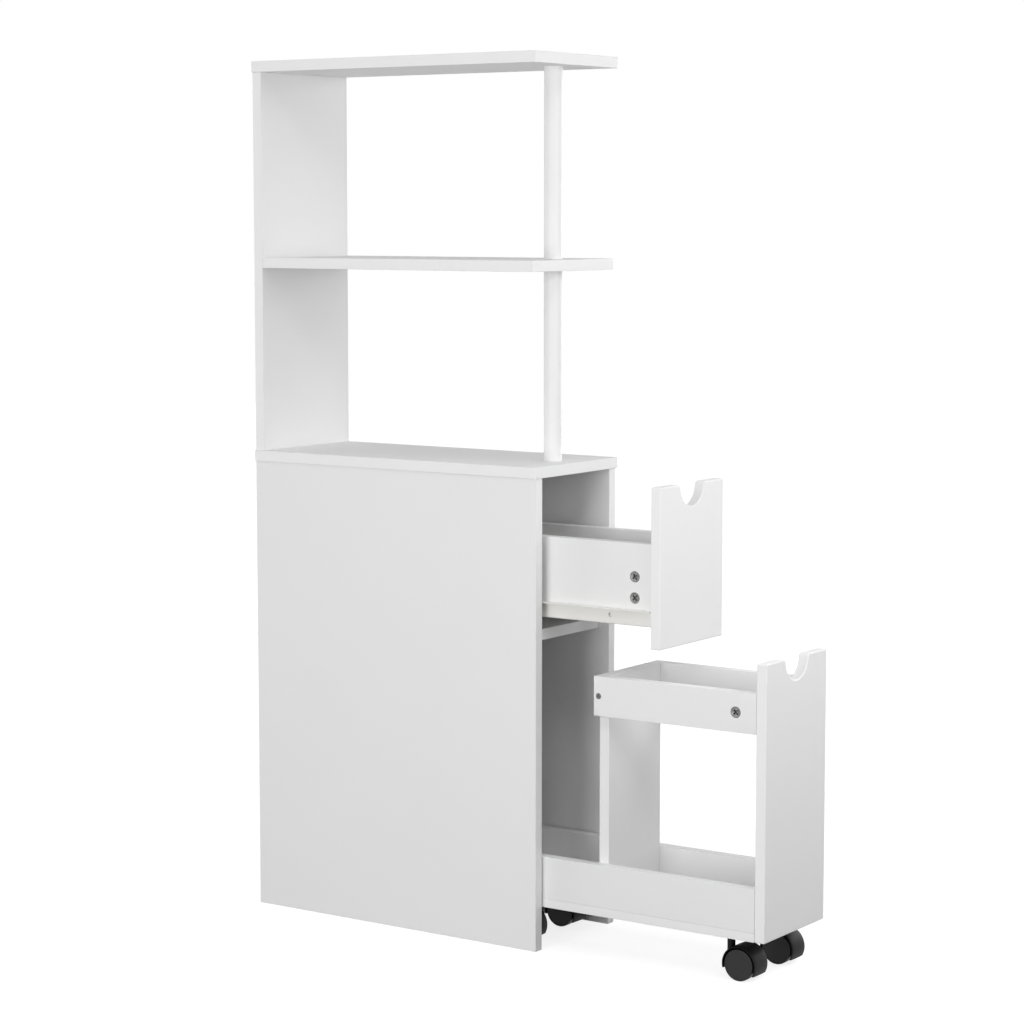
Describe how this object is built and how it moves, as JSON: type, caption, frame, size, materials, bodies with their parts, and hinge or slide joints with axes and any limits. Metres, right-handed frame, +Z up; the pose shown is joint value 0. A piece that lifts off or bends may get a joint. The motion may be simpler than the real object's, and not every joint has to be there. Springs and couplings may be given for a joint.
{
  "type": "narrow pull-out bathroom cabinet",
  "caption": "Tall narrow white cabinet with an open shelf rack above, a drawer on roller runners and a pull-out cart on swivel casters below.",
  "frame": {"origin": "on the floor, centred across the cabinet, halfway between the face of the pulled-out cart and the cabinet's rear", "axes": "+Z up, -Y towards the front that the drawer and the cart pull out of, +X to the right seen from the front"},
  "size_m": [0.2, 0.8216, 1.2],
  "materials": {
    "white_board": "satin white melamine",
    "thin_board": "white-faced hardboard",
    "post_enamel": "satin white enamel",
    "runner_enamel": "cream enamel",
    "zinc": "dull zinc",
    "plain_steel": "plain steel",
    "roller_nylon": "white nylon",
    "caster_nylon": "black nylon",
    "dowel_beech": "plain beech"
  },
  "bodies": {
    "cabinet": {"base_back_panel": "thin_board", "cabinet_cam_bolts": "zinc", "cabinet_cam_locks": "zinc", "cabinet_dowels": "dowel_beech", "cabinet_runner_left": "runner_enamel", "cabinet_runner_right": "runner_enamel", "cabinet_screws": "zinc", "counter_top": "white_board", "front_stretcher": "white_board", "lower_post": "post_enamel", "middle_shelf": "white_board", "post_tie_rod": "plain_steel", "rack_back_board": "white_board", "side_panel_left": "white_board", "side_panel_right": "white_board", "top_shelf": "white_board", "upper_post": "post_enamel"},
    "drawer": {"drawer_back": "white_board", "drawer_bottom": "thin_board", "drawer_cam_bolts": "zinc", "drawer_cam_locks": "zinc", "drawer_dowels": "dowel_beech", "drawer_front": "white_board", "drawer_runner_left": "runner_enamel", "drawer_runner_right": "runner_enamel", "drawer_side_left": "white_board", "drawer_side_right": "white_board"},
    "cart": {"cart_back": "white_board", "cart_bottom": "white_board", "cart_cam_bolts": "zinc", "cart_cam_locks": "zinc", "cart_divider": "white_board", "cart_dowels": "dowel_beech", "cart_front": "white_board", "cart_lower_rail_left": "white_board", "cart_lower_rail_right": "white_board", "cart_screws": "zinc", "cart_upper_rail_left": "white_board", "cart_upper_rail_right": "white_board", "caster_stems": "plain_steel"},
    "cabinet_roller_left": {"cabinet_roller_left": "roller_nylon"},
    "drawer_roller_left": {"drawer_roller_left": "roller_nylon"},
    "cabinet_roller_right": {"cabinet_roller_right": "roller_nylon"},
    "drawer_roller_right": {"drawer_roller_right": "roller_nylon"},
    "caster_front_left": {"caster_hood_front_left": "caster_nylon", "caster_axle_front_left": "plain_steel"},
    "caster_wheel_front_left_left": {"caster_wheel_front_left_left": "caster_nylon"},
    "caster_wheel_front_left_right": {"caster_wheel_front_left_right": "caster_nylon"},
    "caster_front_right": {"caster_hood_front_right": "caster_nylon", "caster_axle_front_right": "plain_steel"},
    "caster_wheel_front_right_left": {"caster_wheel_front_right_left": "caster_nylon"},
    "caster_wheel_front_right_right": {"caster_wheel_front_right_right": "caster_nylon"},
    "caster_rear_left": {"caster_hood_rear_left": "caster_nylon", "caster_axle_rear_left": "plain_steel"},
    "caster_wheel_rear_left_left": {"caster_wheel_rear_left_left": "caster_nylon"},
    "caster_wheel_rear_left_right": {"caster_wheel_rear_left_right": "caster_nylon"},
    "caster_rear_right": {"caster_hood_rear_right": "caster_nylon", "caster_axle_rear_right": "plain_steel"},
    "caster_wheel_rear_right_left": {"caster_wheel_rear_right_left": "caster_nylon"},
    "caster_wheel_rear_right_right": {"caster_wheel_rear_right_right": "caster_nylon"}
  },
  "joints": [
    {"name": "drawer_slide", "type": "slide", "parent": "cabinet", "child": "drawer", "axis": [0, -1, 0], "range_m": [-0.1825, 0.1175]},
    {"name": "cart_slide", "type": "slide", "parent": "cabinet", "child": "cart", "axis": [0, -1, 0], "range_m": [-0.3415, 0.1185]},
    {"name": "cabinet_roller_left_spin", "type": "hinge", "parent": "cabinet", "child": "cabinet_roller_left", "pos_m": [-0.0782, -0.03925, 0.46425], "axis": [1, 0, 0], "continuous": true},
    {"name": "drawer_roller_left_spin", "type": "hinge", "parent": "drawer", "child": "drawer_roller_left", "pos_m": [-0.0743, 0.15125, 0.46425], "axis": [1, 0, 0], "continuous": true},
    {"name": "cabinet_roller_right_spin", "type": "hinge", "parent": "cabinet", "child": "cabinet_roller_right", "pos_m": [0.0782, -0.03925, 0.46425], "axis": [1, 0, 0], "continuous": true},
    {"name": "drawer_roller_right_spin", "type": "hinge", "parent": "drawer", "child": "drawer_roller_right", "pos_m": [0.0743, 0.15125, 0.46425], "axis": [1, 0, 0], "continuous": true},
    {"name": "caster_front_left_swivel", "type": "hinge", "parent": "cart", "child": "caster_front_left", "pos_m": [-0.05, -0.34525, 0.0565], "axis": [0, 0, 1], "range_deg": [-15, 195]},
    {"name": "caster_front_left_left_wheel_spin", "type": "hinge", "parent": "caster_front_left", "child": "caster_wheel_front_left_left", "pos_m": [-0.0615, -0.36525, 0.021], "axis": [1, 0, 0], "continuous": true},
    {"name": "caster_front_left_right_wheel_spin", "type": "hinge", "parent": "caster_front_left", "child": "caster_wheel_front_left_right", "pos_m": [-0.0385, -0.36525, 0.021], "axis": [1, 0, 0], "continuous": true},
    {"name": "caster_front_right_swivel", "type": "hinge", "parent": "cart", "child": "caster_front_right", "pos_m": [0.05, -0.34525, 0.0565], "axis": [0, 0, 1], "range_deg": [-195, 15]},
    {"name": "caster_front_right_left_wheel_spin", "type": "hinge", "parent": "caster_front_right", "child": "caster_wheel_front_right_left", "pos_m": [0.0385, -0.36525, 0.021], "axis": [1, 0, 0], "continuous": true},
    {"name": "caster_front_right_right_wheel_spin", "type": "hinge", "parent": "caster_front_right", "child": "caster_wheel_front_right_right", "pos_m": [0.0615, -0.36525, 0.021], "axis": [1, 0, 0], "continuous": true},
    {"name": "caster_rear_left_swivel", "type": "hinge", "parent": "cart", "child": "caster_rear_left", "pos_m": [-0.05, -0.00075, 0.0565], "axis": [0, 0, 1], "range_deg": [-15, 195]},
    {"name": "caster_rear_left_left_wheel_spin", "type": "hinge", "parent": "caster_rear_left", "child": "caster_wheel_rear_left_left", "pos_m": [-0.0615, -0.02075, 0.021], "axis": [1, 0, 0], "continuous": true},
    {"name": "caster_rear_left_right_wheel_spin", "type": "hinge", "parent": "caster_rear_left", "child": "caster_wheel_rear_left_right", "pos_m": [-0.0385, -0.02075, 0.021], "axis": [1, 0, 0], "continuous": true},
    {"name": "caster_rear_right_swivel", "type": "hinge", "parent": "cart", "child": "caster_rear_right", "pos_m": [0.05, -0.00075, 0.0565], "axis": [0, 0, 1], "range_deg": [-195, 15]},
    {"name": "caster_rear_right_left_wheel_spin", "type": "hinge", "parent": "caster_rear_right", "child": "caster_wheel_rear_right_left", "pos_m": [0.0385, -0.02075, 0.021], "axis": [1, 0, 0], "continuous": true},
    {"name": "caster_rear_right_right_wheel_spin", "type": "hinge", "parent": "caster_rear_right", "child": "caster_wheel_rear_right_right", "pos_m": [0.0615, -0.02075, 0.021], "axis": [1, 0, 0], "continuous": true}
  ],
  "couplings": [
    {"joint": "cabinet_roller_left_spin", "follows": "drawer_slide", "rad_per_m": 125},
    {"joint": "drawer_roller_left_spin", "follows": "drawer_slide", "rad_per_m": 125},
    {"joint": "cabinet_roller_right_spin", "follows": "drawer_slide", "rad_per_m": 125},
    {"joint": "drawer_roller_right_spin", "follows": "drawer_slide", "rad_per_m": 125}
  ]
}
